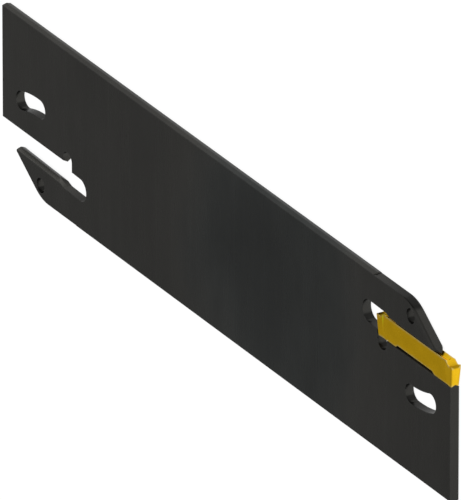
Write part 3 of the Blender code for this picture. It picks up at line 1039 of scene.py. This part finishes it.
def blackened_steel(blade):
    """Ground steel under black oxide: a painted reflection as a cool oval and a lighter end, painted wall
    shade, a painted slope highlight, clouds, faint streaks and rubbed arrises.
    """
    material, tree, shader, place = new_material("blackened_steel")
    clouds = noise(tree, stretched(tree, place, (62, 40, 62)), 1, 3, 0.55)
    blotches = noise(tree, stretched(tree, place, (330, 170, 330)), 1, 3, 0.6)
    marks = place_group(tree, grinding_group(), {"Coarse": 1.0, "Fine": 0.6}, place)
    rubbed = place_group(
        tree, bpy.data.node_groups.get("edge_wear") or wear_group(), {"Scale": 900, "Amount": 0.7}, place
    )
    link(tree, trait(tree, "wear"), rubbed.inputs["Wear"])
    apart = tree.nodes.new("ShaderNodeSeparateXYZ")
    link(tree, place, apart.inputs[0])
    along = apart.outputs["X"]
    distance = reflection_distance(tree, place, clouds)
    cool = map_range(tree, distance, 0.8, 1.7, 1.0, 0.0)

    cloudy = maths(tree, "MULTIPLY", maths(tree, "SUBTRACT", clouds, 0.5), blade.clouding)
    blotchy = maths(tree, "MULTIPLY", maths(tree, "SUBTRACT", blotches, 0.5), 0.4 * blade.clouding)
    streaky = maths(tree, "MULTIPLY", marks.outputs["Marks"], blade.streaks)
    uneven = maths(tree, "ADD", maths(tree, "ADD", cloudy, blotchy), streaky)
    uneven = maths(tree, "ADD", uneven, witness_lines(tree, along))
    uneven = maths(tree, "ADD", uneven, slope_highlight(tree, place, blade))
    shade = maths(tree, "ADD", uneven, 1.0)
    shade = maths(tree, "MULTIPLY", shade, painted_reflection_shade(tree, distance))
    # painted reflection: the free end painted lighter
    fall = map_range(tree, along, -blade.length / 2, FALL_END, *END_REFLECTION_SHADES)
    # scaled by the per-vertex painted light: painted shade in the hollows and on the shoulder, painted
    # light and shade on the free rail's flanks
    shade = maths(tree, "MULTIPLY", maths(tree, "MULTIPLY", shade, fall), trait(tree, "tone"))

    # the oxide colour tinted by the painted reflection, then scaled by the shade, which holds painted
    # reflection, shade and highlight
    oxide = mixed_colour(tree, cool, blade.colour, blade.reflection_tint_colour)
    oxide = brightened(tree, oxide, shade)
    colour = mixed_colour(tree, rubbed.outputs["Mask"], oxide, blade.worn_colour)
    link(tree, colour, shader.inputs["Base Color"])
    shader.inputs["Metallic"].default_value = 0.85
    shader.inputs["Specular Tint"].default_value = (*blade.sheen, 1)
    rough = maths(tree, "ADD", maths(tree, "MULTIPLY", streaky, 0.25), blade.roughness)
    link(tree, rough, shader.inputs["Roughness"])
    add_bump(tree, shader, marks.outputs["Marks"], 0.002 * MM, 0.5)
    return material


def gold_coating(insert):
    """A satin gold coating, paler along the edges."""
    material, tree, shader, place = new_material("gold_coating")
    grain = noise(tree, place, 2600, 3, 0.6)
    patches = noise(tree, place, 420, 2, 0.5)
    rubbed = place_group(
        tree, bpy.data.node_groups.get("edge_wear") or wear_group(), {"Scale": 1500, "Amount": 1.8}, place
    )
    link(tree, trait(tree, "wear"), rubbed.inputs["Wear"])
    shade = maths(tree, "ADD", maths(tree, "MULTIPLY", maths(tree, "SUBTRACT", patches, 0.5), 0.25), 1.0)
    # scaled by the per-vertex painted light: painted shade on the land and under the finger, painted
    # light on the wall, the step and the front faces
    shade = maths(tree, "MULTIPLY", shade, trait(tree, "tone"))
    plain = tree.nodes.new("ShaderNodeRGB")
    plain.outputs[0].default_value = (*insert.colour, 1)
    coat = brightened(tree, plain.outputs[0], shade)
    colour = mixed_colour(tree, rubbed.outputs["Mask"], coat, insert.edge_colour)
    link(tree, colour, shader.inputs["Base Color"])
    shader.inputs["Metallic"].default_value = 1
    shader.inputs["Specular Tint"].default_value = (*insert.sheen, 1)
    rough = maths(tree, "ADD", maths(tree, "MULTIPLY", grain, 0.12), 0.19)
    link(tree, rough, shader.inputs["Roughness"])
    add_bump(tree, shader, grain, 0.003 * MM, 0.4)
    return material


def studio_floor(studio):
    """Pale floor: a diffuse share that takes shadows, and a glow that the camera sees."""
    material = bpy.data.materials.new("studio_floor")
    material.use_nodes = True
    tree = material.node_tree
    tree.nodes.remove(tree.nodes["Principled BSDF"])
    diffuse = tree.nodes.new("ShaderNodeBsdfDiffuse")
    diffuse.inputs["Color"].default_value = (0.9, 0.9, 0.9, 1)
    glow = tree.nodes.new("ShaderNodeEmission")
    glow.inputs["Strength"].default_value = 1.05
    path = tree.nodes.new("ShaderNodeLightPath")
    seen = maths(tree, "MAXIMUM", path.outputs["Is Camera Ray"], path.outputs["Is Transmission Ray"])
    blend = tree.nodes.new("ShaderNodeMixShader")
    link(tree, maths(tree, "MULTIPLY", seen, studio.floor_glow), blend.inputs["Fac"])
    link(tree, diffuse.outputs[0], blend.inputs[1])
    link(tree, glow.outputs[0], blend.inputs[2])
    link(tree, blend.outputs[0], tree.nodes["Material Output"].inputs["Surface"])
    return material


HORIZON = (0.0, 0.4)  # sine of the elevation where the table's light starts and ends to fade


def studio_world(studio):
    """White to the camera, an even surround, and to the gloss a bright table under a grey room."""
    world = bpy.data.worlds.new("studio")
    world.use_nodes = True
    tree = world.node_tree
    even = tree.nodes["Background"]
    even.inputs["Color"].default_value = (1, 1, 1, 1)
    even.inputs["Strength"].default_value = studio.surround
    white = tree.nodes.new("ShaderNodeBackground")
    white.inputs["Color"].default_value = (1, 1, 1, 1)
    apart = tree.nodes.new("ShaderNodeSeparateXYZ")
    link(tree, tree.nodes.new("ShaderNodeTexCoord").outputs["Generated"], apart.inputs[0])
    gloss = tree.nodes.new("ShaderNodeBackground")
    brightness = map_range(tree, apart.outputs["Z"], *HORIZON, studio.table, studio.ceiling)
    link(tree, brightness, gloss.inputs["Strength"])
    path = tree.nodes.new("ShaderNodeLightPath")
    shiny = tree.nodes.new("ShaderNodeMixShader")
    link(tree, path.outputs["Is Glossy Ray"], shiny.inputs["Fac"])
    link(tree, even.outputs[0], shiny.inputs[1])
    link(tree, gloss.outputs[0], shiny.inputs[2])
    blend = tree.nodes.new("ShaderNodeMixShader")
    link(tree, path.outputs["Is Camera Ray"], blend.inputs["Fac"])
    link(tree, shiny.outputs[0], blend.inputs[1])
    link(tree, white.outputs[0], blend.inputs[2])
    link(tree, blend.outputs[0], tree.nodes["World Output"].inputs["Surface"])
    bpy.context.scene.world = world


def softbox(name, power, size, place, aim):
    """A square area light at a place, facing a point, that leaves no bright spot in the gloss."""
    data = bpy.data.lights.new(name, "AREA")
    data.energy = power
    data.shape = "SQUARE"
    data.size = size
    lamp = bpy.data.objects.new(name, data)
    lamp.visible_glossy = False
    bpy.context.scene.collection.objects.link(lamp)
    lamp.location = place
    lamp.rotation_euler = (Vector(aim) - Vector(place)).to_track_quat("-Z", "Y").to_euler()
    return lamp


# The camera stands off the part's middle with the blade's height upright in the picture
CAMERA_AZIMUTH = math.radians(59.70)
CAMERA_ELEVATION = math.radians(25.335)
CAMERA_SHIFT = (-0.398 * MM, -0.343 * MM)  # right and up in the picture, from the origin
CAMERA_REACH = 2.3474 * MM  # of distance for each mm of the lens


def stand_camera(studio):
    """A long lens that looks down on the lying blade from its insert end."""
    flat = math.cos(CAMERA_ELEVATION)
    back = Vector(
        (math.sin(CAMERA_AZIMUTH) * flat, math.sin(CAMERA_ELEVATION), math.cos(CAMERA_AZIMUTH) * flat)
    )
    right = Vector((0, 1, 0)).cross(back).normalized()
    up = back.cross(right)
    data = bpy.data.cameras.new("camera")
    data.lens = studio.lens
    data.clip_end = 100
    camera = bpy.data.objects.new("camera", data)
    bpy.context.scene.collection.objects.link(camera)
    turn = Matrix((right, up, back)).transposed().to_4x4()
    aim = right * CAMERA_SHIFT[0] + up * CAMERA_SHIFT[1]
    camera.matrix_world = Matrix.Translation(aim + back * CAMERA_REACH * studio.lens) @ turn
    bpy.context.scene.camera = camera


class BuildBladeBody(bpy.types.Operator):
    """Build the ground blade with its guide edges, pockets, fingers and key holes"""

    bl_idname = "object.build_blade_body"
    bl_label = "Blade body"

    def execute(self, context):
        blade, insert = context.scene.blade_settings, context.scene.insert_settings
        piece = new_piece("ground_blade", *blade_surface(blade, insert), BLADE_SHARP)
        piece.data.materials.append(blackened_steel(blade))
        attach(piece, BODY)
        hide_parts("blade_body")
        return {"FINISHED"}


class BuildInsert(bpy.types.Operator):
    """Build the coated insert with its chip formers, V grooves and feet"""

    bl_idname = "object.build_blade_insert"
    bl_label = "Insert"

    def execute(self, context):
        blade, insert = context.scene.blade_settings, context.scene.insert_settings
        levels = Levels(blade)
        points, faces, traits = insert_surface(insert, levels.rail_rise)
        seat = blade.height / 2 - EDGE_DROP - insert.height
        middle = blade.length / 2 + OVERHANG / 2 - insert.length / 2
        points = points + (middle, seat, insert.width / 2)
        piece = new_piece("coated_insert", points, faces, traits, INSERT_SHARP)
        piece.data.materials.append(gold_coating(insert))
        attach(piece, BODY)
        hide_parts("insert")
        return {"FINISHED"}


class BuildStudio(bpy.types.Operator):
    """Lay the pale floor, hang the softboxes and stand the camera"""

    bl_idname = "scene.build_blade_studio"
    bl_label = "Studio"

    def execute(self, context):
        studio = context.scene.studio_settings
        reach = 4.0
        corners = [(-reach, -reach, 0), (reach, -reach, 0), (reach, reach, 0), (-reach, reach, 0)]
        mesh = bpy.data.meshes.new("floor")
        mesh.from_pydata(corners, [], [(0, 1, 2, 3)])
        mesh.materials.append(studio_floor(studio))
        floor = bpy.data.objects.new("floor", mesh)
        context.scene.collection.objects.link(floor)
        floor.visible_glossy = False
        studio_world(studio)
        softbox("overhead_softbox", studio.key_power, 1.4, (0.3, 0.4, 2.0), (0, 0, 0))
        softbox("side_softbox", studio.fill_power, 0.9, (1.6, 1.0, 0.7), (0, 0, 0))
        stand_camera(studio)
        context.scene.view_settings.view_transform = "Standard"
        return {"FINISHED"}


class BladePanel(bpy.types.Panel):
    """Sizes, colours and builders of the parting blade"""

    bl_idname = "VIEW3D_PT_parting_blade"
    bl_label = "Parting Blade"
    bl_space_type = "VIEW_3D"
    bl_region_type = "UI"
    bl_category = "Parting Blade"

    def draw(self, context):
        scene = context.scene
        for operator, settings in (
            (BuildBladeBody, scene.blade_settings),
            (BuildInsert, scene.insert_settings),
            (BuildStudio, scene.studio_settings),
        ):
            box = self.layout.box()
            for name in settings.__annotations__:
                box.prop(settings, name)
            box.operator(operator.bl_idname)


SETTINGS = {
    "blade_settings": BladeSettings,
    "insert_settings": InsertSettings,
    "studio_settings": StudioSettings,
}
CLASSES = (*SETTINGS.values(), BuildBladeBody, BuildInsert, BuildStudio, BladePanel)


def register():
    for cls in CLASSES:
        bpy.utils.register_class(cls)
    for name, cls in SETTINGS.items():
        setattr(bpy.types.Scene, name, bpy.props.PointerProperty(type=cls))


def unregister():
    for name in SETTINGS:
        delattr(bpy.types.Scene, name)
    for cls in reversed(CLASSES):
        bpy.utils.unregister_class(cls)


def main():
    register()
    bpy.ops.object.build_blade_body()
    bpy.ops.object.build_blade_insert()
    bpy.ops.scene.build_blade_studio()


if __name__ == "__main__":
    main()
